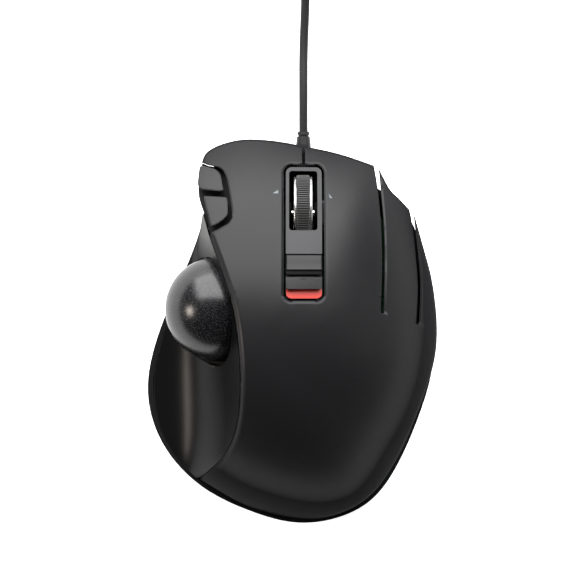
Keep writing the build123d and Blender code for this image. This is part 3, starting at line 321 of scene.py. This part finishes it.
def plate(name, runs, height, thick=2.0, step=1.3, holes=()):
    """A closed shell over a plan outline.

    runs are (points, edge radius, how deep the side goes below the surface, or its own lowest height as a
    negative number); height(x, y) is the top surface. holes are outlines of the same kind.
    """
    loops = [runs, *holes]
    flat, edges, depth_of = [], [], {}
    for loop in loops:
        points = []
        for line, radius, depth in loop:
            for p in line:
                if not points or math.dist(points[-1], p) > 0.05:
                    points.append(p)
                    depth_of[len(flat) + len(points) - 1] = depth
        if math.dist(points[0], points[-1]) < 0.05:
            points.pop()
        start = len(flat)
        flat += points
        edges += [(start + k, start + (k + 1) % len(points)) for k in range(len(points))]
    outlines = []
    for loop in loops:
        outlines.append([p for line, _, _ in loop for p in line])
    soft = {}
    for loop in loops:
        for line, radius, _ in loop:
            if radius:
                soft.setdefault(radius, []).append(line)
    every = [line for loop in loops for line, _, _ in loop]
    rolled = [line for lines in soft.values() for line in lines]

    def top(x, y):
        z = height(x, y)
        for radius, lines in soft.items():
            d = gap_to((x, y), lines)
            if d < radius:
                z -= radius - math.sqrt(max(radius**2 - (radius - d) ** 2, 0))
        return z

    extra = []
    for radius, lines in soft.items():
        for line in lines:
            for a, b in zip(line, line[1:]):
                length = math.dist(a, b)
                if length < 1e-6:
                    continue
                for side in (1, -1):
                    for share in ROLL_SHARES:
                        d = radius * share
                        p = (
                            (a[0] + b[0]) / 2 - side * (b[1] - a[1]) / length * d,
                            (a[1] + b[1]) / 2 + side * (b[0] - a[0]) / length * d,
                        )
                        if inside(p, outlines[0]) and gap_to(p, every) > CLEAR_SHARE * d:
                            extra.append(p)
    xs = [p[0] for p in flat]
    ys = [p[1] for p in flat]
    widest = max([0, *soft]) + 0.5 * step
    y = min(ys) + step / 2
    row = 0
    while y < max(ys):
        x = min(xs) + (step / 2 if row % 2 else 0)
        while x < max(xs):
            p = (x, y)
            if inside(p, outlines[0]) and not any(inside(p, o) for o in outlines[1:]):
                near = gap_to(p, every)
                if near > widest or (near > NEAREST_SHARE * step and gap_to(p, rolled) > widest):
                    extra.append(p)
            x += step
        y += step * ROW_SHARE
        row += 1
    coords = [Vector(p) for p in flat + extra]
    verts, _, faces, origins, _, _ = geometry.delaunay_2d_cdt(coords, edges, [], 0, 1e-5)
    kept = []
    for f in faces:
        c = sum((verts[i] for i in f), Vector((0, 0))) / 3
        if not inside(c, outlines[0]) or any(inside(c, o) for o in outlines[1:]):
            continue
        kept.append(f)
    tops = [Vector((v.x, v.y, top(v.x, v.y))) for v in verts]
    unders = [Vector((v.x, v.y, height(v.x, v.y) - thick)) for v in verts]
    borders = {}
    for f in kept:
        for a, b in zip(f, [*f[1:], f[0]]):
            borders[(a, b)] = borders.get((a, b), 0) + 1
    rim = [(a, b) for a, b in borders if (b, a) not in borders]
    for a, b in rim:
        for i in (a, b):
            depth = next((depth_of[o] for o in origins[i] if o in depth_of), thick)
            unders[i].z = -depth if depth < 0 else height(verts[i].x, verts[i].y) - depth
    used = sorted({i for f in kept for i in f})
    index = {i: k for k, i in enumerate(used)}
    n = len(used)
    mesh = bpy.data.meshes.new(name)
    points = [tops[i] * MM for i in used] + [unders[i] * MM for i in used]
    polys = [[index[i] for i in f] for f in kept]
    polys += [[index[i] + n for i in reversed(f)] for f in kept]
    side_start = len(polys)
    polys += [[index[b], index[a], index[a] + n, index[b] + n] for a, b in rim]
    mesh.from_pydata(points, [], polys)
    mesh.polygons.foreach_set("use_smooth", [k < side_start for k in range(len(polys))])
    normals = []
    for i in used:
        x, y = verts[i].x, verts[i].y
        step_in = SLOPE_PROBE if gap_to((x, y), rolled) > 2 * SLOPE_PROBE else 2 * SLOPE_PROBE
        slope_x = top(x + step_in, y) - top(x - step_in, y)
        slope_y = top(x, y + step_in) - top(x, y - step_in)
        slope = Vector((slope_x, slope_y, 0))
        normals.append((Vector((0, 0, 1)) - slope / (2 * step_in)).normalized())
    mesh.validate()
    mesh.update()
    loops_normal = []
    for poly in mesh.polygons:
        flat_face = not poly.use_smooth
        for i in poly.vertices:
            if flat_face or i >= n:
                loops_normal.append(tuple(poly.normal))
            else:
                loops_normal.append(tuple(normals[i]))
    mesh.polygons.foreach_set("use_smooth", [True] * len(mesh.polygons))
    mesh.normals_split_custom_set(loops_normal)
    made = bpy.data.objects.new(name, mesh)
    bpy.context.scene.collection.objects.link(made)
    return made


# ---------------------------------------------------------------- materials
def material(name, colour, rough, **more):
    """A moulded finish: fine grain in the bump, slow cloudiness in the roughness."""
    made = bpy.data.materials.new(name)
    made.use_nodes = True
    tree = made.node_tree
    shader = tree.nodes["Principled BSDF"]
    shader.inputs["Base Color"].default_value = (*colour, 1)
    shader.inputs["Metallic"].default_value = more.get("metallic", 0)
    shader.inputs["Specular IOR Level"].default_value = more.get("specular", 0.5)
    shader.inputs["Coat Weight"].default_value = more.get("coat", 0)
    shader.inputs["Coat Roughness"].default_value = more.get("coat_rough", 0.05)
    if "fade" in more:
        # a fine mould texture returns less light at a shallow angle than a polished face does
        low, high, left = more["fade"]
        view = tree.nodes.new("ShaderNodeLayerWeight")
        view.inputs["Blend"].default_value = 0.5
        drop = tree.nodes.new("ShaderNodeMapRange")
        drop.inputs["From Min"].default_value = low
        drop.inputs["From Max"].default_value = high
        drop.inputs["To Min"].default_value = more["specular"]
        drop.inputs["To Max"].default_value = left
        tree.links.new(view.outputs["Facing"], drop.inputs["Value"])
        tree.links.new(drop.outputs["Result"], shader.inputs["Specular IOR Level"])
    place = tree.nodes.new("ShaderNodeTexCoord")
    grain = tree.nodes.new("ShaderNodeTexNoise")
    grain.inputs["Scale"].default_value = more.get("grain_scale", 6000)
    grain.inputs["Detail"].default_value = 2
    tree.links.new(place.outputs["Object"], grain.inputs["Vector"])
    bump = tree.nodes.new("ShaderNodeBump")
    bump.inputs["Strength"].default_value = more.get("grain", 0.1)
    bump.inputs["Distance"].default_value = 0.0001
    tree.links.new(grain.outputs["Fac"], bump.inputs["Height"])
    tree.links.new(bump.outputs["Normal"], shader.inputs["Normal"])
    cloud = tree.nodes.new("ShaderNodeTexNoise")
    cloud.inputs["Scale"].default_value = more.get("cloud_scale", 60)
    tree.links.new(place.outputs["Object"], cloud.inputs["Vector"])
    span = tree.nodes.new("ShaderNodeMapRange")
    span.inputs["To Min"].default_value = rough * 0.92
    span.inputs["To Max"].default_value = rough * 1.08
    tree.links.new(cloud.outputs["Fac"], span.inputs["Value"])
    tree.links.new(span.outputs["Result"], shader.inputs["Roughness"])
    return made


def speckled(name, colour, fleck, rough):
    """Resin with fine flecks held below a polished face."""
    made = material(name, colour, rough, grain=0.03, specular=0.3, fade=(0.3, 0.75, 0.06))
    tree = made.node_tree
    shader = tree.nodes["Principled BSDF"]
    place = tree.nodes["Texture Coordinate"]
    cells = tree.nodes.new("ShaderNodeTexNoise")
    cells.inputs["Scale"].default_value = 2600
    cells.inputs["Detail"].default_value = 3
    cells.inputs["Roughness"].default_value = 0.7
    tree.links.new(place.outputs["Object"], cells.inputs["Vector"])
    ramp = tree.nodes.new("ShaderNodeValToRGB")
    ramp.color_ramp.elements[0].position = 0.53
    ramp.color_ramp.elements[0].color = (*colour, 1)
    ramp.color_ramp.elements[1].position = 0.68
    ramp.color_ramp.elements[1].color = (*fleck, 1)
    tree.links.new(cells.outputs["Fac"], ramp.inputs["Fac"])
    tree.links.new(ramp.outputs["Color"], shader.inputs["Base Color"])
    return made


def print_marks(made, triangles, ink):
    """Prints small triangles, given by plan corners that run anticlockwise, on a finish."""
    tree = made.node_tree
    shader = tree.nodes["Principled BSDF"]
    place = tree.nodes["Texture Coordinate"]
    total = None
    for corners in triangles:
        inner = None
        for a, b in zip(corners, [*corners[1:], corners[0]]):
            across = Vector((a[1] - b[1], b[0] - a[0], 0))
            side = tree.nodes.new("ShaderNodeVectorMath")
            side.operation = "DOT_PRODUCT"
            side.inputs[1].default_value = across
            tree.links.new(place.outputs["Object"], side.inputs[0])
            test = tree.nodes.new("ShaderNodeMath")
            test.operation = "GREATER_THAN"
            test.inputs[1].default_value = across.dot(Vector((*a, 0))) * MM
            tree.links.new(side.outputs["Value"], test.inputs[0])
            inner = joined(tree, inner, test, "MULTIPLY")
        total = joined(tree, total, inner, "MAXIMUM")
    mix = tree.nodes.new("ShaderNodeMix")
    mix.data_type = "RGBA"
    mix.inputs["A"].default_value = shader.inputs["Base Color"].default_value
    mix.inputs["B"].default_value = (*ink, 1)
    tree.links.new(total.outputs["Value"], mix.inputs["Factor"])
    tree.links.new(mix.outputs["Result"], shader.inputs["Base Color"])


def joined(tree, first, second, operation):
    """One value from two by a math node, or the second alone where there is no first."""
    if first is None:
        return second
    both = tree.nodes.new("ShaderNodeMath")
    both.operation = operation
    tree.links.new(first.outputs["Value"], both.inputs[0])
    tree.links.new(second.outputs["Value"], both.inputs[1])
    return both


SATIN = material(
    "satin_black", (0.0058, 0.0058, 0.0064), 0.34, grain=0.12, specular=0.135, fade=(0.18, 0.48, 0.004),
)
TILT_MARKS = [
    [(-6.4, 45.6), (-4.6, 45.6), (-4.6, 46.7)],
    [(12.0, 45.6), (12.4, 44.1), (13.2, 44.1)],
]
MARK_GREY = (0.09, 0.1, 0.105)
print_marks(SATIN, TILT_MARKS, MARK_GREY)
GLOSS = material(
    "gloss_black", (0.0022, 0.0022, 0.0025), 0.33, grain=0.01, specular=0.1, fade=(0.3, 0.62, 0.012),
)
CASE = material("case_black", (0.004, 0.004, 0.0043), 0.5, grain=0.25, grain_scale=4000, specular=0.1)
INNER = material("inner_black", (0.002, 0.002, 0.002), 0.6, grain=0.1, specular=0.06)
BEZEL = material("bezel_grey", (0.018, 0.018, 0.0193), 0.4, grain=0.12, specular=0.15)
KEY = material("key_grey", (0.0085, 0.0085, 0.009), 0.33, grain=0.12, specular=0.13)
LABEL = material("label_red", (0.36, 0.024, 0.014), 0.4, grain=0.05, specular=0.3)
BALL_FINISH = speckled("ball_finish", (0.002, 0.002, 0.0024), (0.034, 0.034, 0.038), 0.25)
TYRE_FINISH = material("tyre_rubber", (0.012, 0.012, 0.012), 0.62, grain=0.4, grain_scale=3000)
CHROME = material("chrome_ring", (0.3, 0.303, 0.307), 0.26, metallic=1, grain=0.01)
STEEL = material("steel", (0.62, 0.62, 0.64), 0.25, metallic=1, grain=0.08, grain_scale=2500)
SCREW = material("screw_steel", (0.12, 0.12, 0.125), 0.4, metallic=1, grain=0.1)
CERAMIC = material("bearing_white", (0.82, 0.8, 0.75), 0.15, grain=0.01)
BOARD = material("board_green", (0.003, 0.03, 0.009), 0.4, grain=0.2, grain_scale=1500)
SWITCH = material("switch_body", (0.03, 0.03, 0.033), 0.45, grain=0.1)
NYLON = material("connector_white", (0.75, 0.73, 0.66), 0.4, grain=0.1)
JACKET = material("cable_jacket", (0.009, 0.009, 0.0095), 0.5, grain=0.3, grain_scale=5000, specular=0.12)
PLUG = material("plug_black", (0.008, 0.008, 0.0085), 0.42, grain=0.2, specular=0.2)
GOLD = material("gold", (0.8, 0.55, 0.18), 0.2, metallic=1, grain=0.01)
NICKEL = material("plug_steel", (0.66, 0.66, 0.67), 0.22, metallic=1, grain=0.05)
LENS = material("clear_lens", (0.7, 0.75, 0.8), 0.08, grain=0.01, coat=0.4)
FOOT = material("foot_plastic", (0.03, 0.03, 0.031), 0.45, grain=0.05)
WHITE = material("plug_white", (0.75, 0.74, 0.7), 0.4, grain=0.05)
FINISH = {
    "case_black": CASE, "foot_plastic": FOOT, "screw_steel": SCREW, "satin_black": SATIN,
    "gloss_black": GLOSS, "board_green": BOARD, "switch_body": SWITCH, "inner_black": INNER,
    "bearing_white": CERAMIC, "clear_lens": LENS, "chip_black": SWITCH, "bezel_grey": BEZEL,
    "label_red": LABEL, "steel": STEEL, "connector_white": NYLON, "plug_black": PLUG,
    "cable_jacket": JACKET, "plug_steel": NICKEL, "plug_white": WHITE, "gold": GOLD, "key_grey": KEY,
    "ball_finish": BALL_FINISH, "tyre_rubber": TYRE_FINISH, "chrome_ring": CHROME,
}
for entry in frame["record"]["subparts"]:
    node = frame["nodes"][entry["node"]]
    node.data.materials.clear()
    node.data.materials.append(FINISH[entry["material_slot"]])


def dress(piece, finish, body, *nodes):
    """Gives a piece its finish and its body, and hides the CAD nodes that it stands for."""
    piece.data.materials.append(FINISH[finish])
    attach(piece, body)
    if nodes:
        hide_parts(*nodes)
    return piece


# ---------------------------------------------------------------- cover and main buttons
# each pair is an edge radius and a side depth, as plate() takes them
RIM = (0.9, -SKIRT_Z)
EDGE = (2.1, 5.0)
SLOT = (0.45, 2.0)
WELL = (1.1, 2.2)
SEAM = (0, 2.0)
OPEN = 0.42  # how much further the shells stand off the bezel than the moulded slot
GAP = 0.5  # half the width of the slots between the shells
x0, y0 = BEZEL_LOW[0] - OPEN, BEZEL_LOW[1] - OPEN
x1, y1 = BEZEL_HIGH[0] + OPEN, BEZEL_HIGH[1] + OPEN
rc = BEZEL_CORNER + OPEN
front = curve(FRONT)
left_edge = curve(LEFT_EDGE)
right_side = curve(RIGHT_SIDE)
slot_ring, slot_side = curve(SLOT_RING), curve(SLOT_SIDE)
slit_low, slit_high = SLIT_X - GAP, SLIT_X + GAP
slit_y = [min(front, key=lambda p: abs(p[0] - x))[1] for x in (slit_low, slit_high)]
recess = curve(RECESS)
left_seam_x = edge_x(LEFT_EDGE, SEAM_Y)
ring_seam_x = min(slot_ring, key=lambda p: abs(p[1] - SEAM_Y))[0]

left_front = [p for p in front if p[0] < slit_low - 0.2 and p[1] > 56.5]
left_runs = [
    ([(-30.0, 56.3), *left_front, (slit_low, slit_y[0])], *RIM),
    (straight((slit_low, slit_y[0]), (slit_low, y1)), *SLOT),
    ([*straight((slit_low, y1), (x0 + rc, y1)), *arc(x0 + rc, y1 - rc, rc, 90, 180)], *WELL),
    (straight((x0, y1 - rc), (x0, SEAM_Y)), *WELL),
    (straight((x0, SEAM_Y), (left_seam_x, SEAM_Y)), *SEAM),
    ([(left_seam_x, SEAM_Y), *[p for p in left_edge[::-1] if SEAM_Y < p[1] < 31.0], (-27.0, 31.2)], *EDGE),
    (recess[::-1], 0.7, 3.4),
]
right_runs = [
    (straight((x1, SEAM_Y), (x1, y1 - rc)), *WELL),
    ([*arc(x1 - rc, y1 - rc, rc, 0, 90), *straight((x1 - rc, y1), (slit_high, y1))], *WELL),
    (straight((slit_high, y1), (slit_high, slit_y[1])), *SLOT),
    ([(slit_high, slit_y[1]), *[p for p in front if p[0] > SLIT_X + 0.8]], *RIM),
    ([(27.3, 55.4), (27.9, 51.5), *shifted([p for p in slot_ring if p[1] > SEAM_Y], -GAP)], *SLOT),
    (straight((ring_seam_x - GAP, SEAM_Y), (x1, SEAM_Y)), *SEAM),
]
cover_runs = [
    (straight((left_seam_x, SEAM_Y), (x0, SEAM_Y)), *SEAM),
    ([(x0, SEAM_Y), (x0, y0 + rc * 0.6), *arc(x0 + rc, y0 + rc * 0.9, rc * 0.95, 200, 270, 6)], *WELL),
    ([*straight((x0 + rc, y0), (x1 - rc, y0)), *arc(x1 - rc, y0 + rc * 0.9, rc * 0.95, 270, 340, 6)], *WELL),
    ([(x1, y0 + rc * 0.6), (x1, SEAM_Y)], *WELL),
    (straight((x1, SEAM_Y), (ring_seam_x - GAP, SEAM_Y)), *SEAM),
    ([*shifted(clip(slot_ring, high=SEAM_Y), -GAP), *arc(*SLOT_RING[-1], GAP, 180, 360, 6)], *SLOT),
    ([*shifted(slot_ring[::-1], GAP), (29.1, 51.5), (28.8, 54.8)], 1.1, 2.0),
    (curve(RING_HORN), 0.7, 5.0),
    ([(39.4, 39.6), *shifted(slot_side, -GAP), *arc(*SLOT_SIDE[-1], GAP, 180, 360, 6)], *SLOT),
    ([*shifted(slot_side[::-1], GAP), (40.8, 39.1)], 0.9, 2.0),
    (right_side, *RIM),
    ([p for p in left_edge[::-1] if p[1] < SEAM_Y - 0.3] + [(left_seam_x, SEAM_Y)], *EDGE),
]
for name, runs in (("left_button", left_runs), ("right_button", right_runs)):
    shell = plate(f"{name}_shell", runs, crown)
    shell.data.materials.append(SATIN)
    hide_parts(name)
    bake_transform(shell)
dress(plate("palm_cover_shell", cover_runs, crown), "satin_black", "casing", "palm_cover")

POCKET, POCKET_R = BALL + Vector((0, -0.75, 0)), 18.15
POCKET_REACH, POCKET_STEP, POCKET_POINTS = 19.5, 0.1, 120


def in_pocket(x, y):
    """True where the thumb rest is nearer the pocket's middle than the pocket's radius."""
    return math.dist((x, y, thumb(x, y)), POCKET) < POCKET_R


panel_right = [(x - 0.25, y) for x, y in left_edge if y < 38.6]
panel_left = curve(PANEL_LEFT)
pocket_line = []
for k in range(POCKET_POINTS):
    turn = math.radians(360 / POCKET_POINTS * k)
    reach = 0.0
    while reach < POCKET_REACH:
        x, y = BALL.x + reach * math.cos(turn), BALL.y + reach * math.sin(turn)
        if x > edge_x(LEFT_EDGE, y) + 0.2 or not in_pocket(x, y):
            break
        reach += POCKET_STEP
    pocket_line.append((BALL.x + reach * math.cos(turn), BALL.y + reach * math.sin(turn)))
panel_runs = [
    (panel_right, 0.25, 2.5),
    (panel_left[::-1], 0.4, 2.0),
]
panel = plate("thumb_panel_shell", panel_runs, thumb, thick=2.0, step=0.9, holes=([(pocket_line, 0.4, 2.2)],))
dress(panel, "gloss_black", "casing", "thumb_panel")

forward = plate("forward_button_cap", [(rounded(FORWARD), 0.55, 2.2)], crown, step=0.8)
back = plate("back_button_cap", [(rounded(BACK), 0.55, 2.2)], crown, step=0.8)
frame_line = [(-27.9, 55.2), (-23.8, 54.0), (-22.1, 51.8), *[(x - 0.15, y) for x, y in RECESS[4:9]]]
frame_left = [(-26.9, 32.3), (-27.5, 34.8), (-28.9, 38.9), (-30.7, 44.6), (-31.0, 50.5), (-29.9, 56.05)]
side_frame = plate(
    "side_frame_pan", [(curve([frame_left[-1], *frame_line]), 0, 6.2), (curve(frame_left), 0.4, -8.3)],
    lambda x, y: crown(x, y) - 4.6, step=1.0,
)
dress(side_frame, "inner_black", "casing", "side_button_frame")
dress(forward, "key_grey", "forward_button", "forward_button")
dress(back, "key_grey", "back_button", "back_button")

# ---------------------------------------------------------------- key and wheel
FN_ROWS = [
    (25.3, 0.5), (25.1, 0.08), (24.8, 0.0), (23.0, -0.02), (21.3, 0.0), (20.9, -0.22), (20.6, -0.25),
    (20.35, 0.0), (20.1, 0.5), (19.1, 0.75), (18.75, 1.1),
]
fn_key = bar("fn_key", low_x=-1.95, high_x=9.65, rows=FN_ROWS, height=crown)
dress(fn_key, "key_grey", "fn_button", "fn_button")

WHEEL = Vector((3.6, 39.3, 23.6))
TYRE = [
    (1.85, 12.5), (0.9, 12.5), (-0.9, 12.5), (-1.85, 12.5), (-2.05, 12.4), (-2.14, 12.2), (-2.14, 9.65),
    (2.14, 9.65), (2.14, 12.2), (2.05, 12.4),
]
wheel_tyre = lathe("tyre", WHEEL, TYRE, 384, crease=50, ribs=96, rib_depth=0.5)
dress(wheel_tyre, "tyre_rubber", "wheel", "wheel_tyre")
RING_FACE = 2.17  # from the wheel's middle to a ring's inner face
band = [(0.95, 9.1), (0.95, 11.3), (0.85, 11.7), (0.6, 11.95), (0.3, 12.0), (0.02, 11.85), (0.0, 9.1)]
for side in (1, -1):
    loop = [(side * (RING_FACE + x), r) for x, r in band]
    ring = lathe(f"ring_{'right' if side > 0 else 'left'}", WHEEL, loop[::side], 160, crease=40)
    dress(ring, "chrome_ring", "wheel")
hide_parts("wheel_rings")


# ---------------------------------------------------------------- cable
CORD_D = 2.9
MODULE_X = 3.8
RELIEF_END = 66.9
COIL_MEAN, COIL_PITCH, COIL_LIFT, LAYER_RISE = 15.8, 2.93, 0.8, 2.55
COIL_OUT = COIL_MEAN + 1.5 * COIL_PITCH
ENTRY = Vector((MODULE_X + 0.7, 124.0, COIL_LIFT + CORD_D / 2))
COIL = Vector((ENTRY.x + COIL_OUT, 136.0, 0))
TAIL = Vector((COIL.x - COIL_MEAN - COIL_PITCH, 150.0, ENTRY.z + 3 * LAYER_RISE))
RUN_POINTS = [
    (MODULE_X, RELIEF_END, 5.2), (MODULE_X, 79.2, 5.2), (MODULE_X, 95.0, 1.5), (ENTRY.x, 110.5, 1.5),
    tuple(ENTRY),
]
TAIL_POINTS = [
    tuple(TAIL), (TAIL.x, TAIL.y + 7.5, TAIL.z), (TAIL.x + 0.6, TAIL.y + 18.0, 4.6),
    (TAIL.x + 0.6, TAIL.y + 27.0, 4.1),
]
PER_TURN = 16
CLIMB_START, CLIMB_SHARE = 0.7, 0.3  # where in a turn the cord steps over to the next, and for how long
LAYERS = (4, 3, 4, 3)


def coil_points():
    """The turns of the put-away coil: layers of four, three, four and three, wound in and out."""
    radii = []
    for layer, count in enumerate(LAYERS):
        row = [COIL_MEAN + (k - (count - 1) / 2) * COIL_PITCH for k in range(count)]
        row = row[::-1] if layer % 2 == 0 else row
        radii += [(r, ENTRY.z + layer * LAYER_RISE) for r in row]
    spots = []
    for k in range(len(radii) * PER_TURN + 1):
        turn, share = divmod(k / PER_TURN, 1)
        here = radii[min(int(turn), len(radii) - 1)]
        then = radii[min(int(turn) + 1, len(radii) - 1)]
        blend = max(0, (share - CLIMB_START) / CLIMB_SHARE)
        r = here[0] + (then[0] - here[0]) * blend
        z = here[1] + (then[1] - here[1]) * blend
        angle = math.pi - 2 * math.pi * k / PER_TURN
        spots.append((COIL.x + r * math.cos(angle), COIL.y + r * math.sin(angle), z))
    return spots


def cord_curve(name, points):
    """A round cord led by points, in mm."""
    data = bpy.data.curves.new(name, "CURVE")
    data.dimensions = "3D"
    line = data.splines.new("NURBS")
    line.points.add(len(points) - 1)
    for spot, p in zip(line.points, points):
        spot.co = (p[0] * MM, p[1] * MM, p[2] * MM, 1)
    line.order_u = 3
    line.use_endpoint_u = True
    line.resolution_u = 6
    data.bevel_depth = CORD_D / 2 * MM
    data.bevel_resolution = 5
    data.use_fill_caps = True
    made = bpy.data.objects.new(name, data)
    bpy.context.scene.collection.objects.link(made)
    return made


cord = cord_curve("cable", RUN_POINTS + coil_points()[1:-1] + TAIL_POINTS)
dress(cord, "cable_jacket", "casing", "cable_run", "cable_coil", "cable_tail")

# ---------------------------------------------------------------- stage, light and camera
VIEW_CENTRE = (-0.7 * MM, 13.9 * MM)
VIEW_WIDE = 193.3 * MM
CAMERA_HIGH = 1.2
VIEW_PLANE = 0.012  # the height at which the view is VIEW_WIDE across
SENSOR = 36
FLOOR_HALF = 3


def lamp(name, place, aim, size, power, colour=(1, 1, 1)):
    """A soft box at place, in metres, turned to face aim."""
    data = bpy.data.lights.new(name, "AREA")
    data.shape = "RECTANGLE"
    data.size, data.size_y = size
    data.energy = power
    data.color = colour
    made = bpy.data.objects.new(name, data)
    made.location = place
    made.rotation_euler = (Vector(aim) - Vector(place)).to_track_quat("-Z", "Y").to_euler()
    bpy.context.scene.collection.objects.link(made)
    return made


floor_mesh = bpy.data.meshes.new("floor")
corners = [(-FLOOR_HALF, -FLOOR_HALF, 0), (FLOOR_HALF, -FLOOR_HALF, 0)]
corners += [(FLOOR_HALF, FLOOR_HALF, 0), (-FLOOR_HALF, FLOOR_HALF, 0)]
floor_mesh.from_pydata(corners, [], [(0, 1, 2, 3)])
floor = bpy.data.objects.new("floor", floor_mesh)
bpy.context.scene.collection.objects.link(floor)
paper = bpy.data.materials.new("floor_paper")
paper.use_nodes = True
paper_face = paper.node_tree.nodes["Principled BSDF"]
paper_face.inputs["Base Color"].default_value = (0.9, 0.9, 0.9, 1)
paper_face.inputs["Roughness"].default_value = 0.9
paper_face.inputs["Emission Color"].default_value = (1, 1, 1, 1)
paper_face.inputs["Emission Strength"].default_value = 0.9
floor_mesh.materials.append(paper)

BODY_MIDDLE = (0, 0, 0.02)
THUMB_REST = (-0.03, -0.02, 0.02)
WARM = (1.0, 0.9, 0.8)
lamp("front_box", place=(0.0, 1.1, 0.75), aim=BODY_MIDDLE, size=(2.4, 1.6), power=132)
lamp("right_fill", place=(0.9, 0.1, 0.35), aim=BODY_MIDDLE, size=(0.4, 0.8), power=1.0)
lamp("left_spot", place=(-0.83, -0.06, 0.47), aim=THUMB_REST, size=(0.2, 0.2), power=4.5, colour=WARM)

world = bpy.context.scene.world or bpy.data.worlds.new("World")
bpy.context.scene.world = world
world.use_nodes = True
world.node_tree.nodes["Background"].inputs["Color"].default_value = (1, 1, 1, 1)
world.node_tree.nodes["Background"].inputs["Strength"].default_value = 0.12

lens = bpy.data.cameras.new("camera")
lens.sensor_width = SENSOR
lens.lens = SENSOR * (CAMERA_HIGH - VIEW_PLANE) / VIEW_WIDE
lens.clip_start = 0.05
camera = bpy.data.objects.new("camera", lens)
camera.location = (*VIEW_CENTRE, CAMERA_HIGH)
bpy.context.scene.collection.objects.link(camera)
bpy.context.scene.camera = camera
bpy.context.scene.view_settings.view_transform = "Standard"
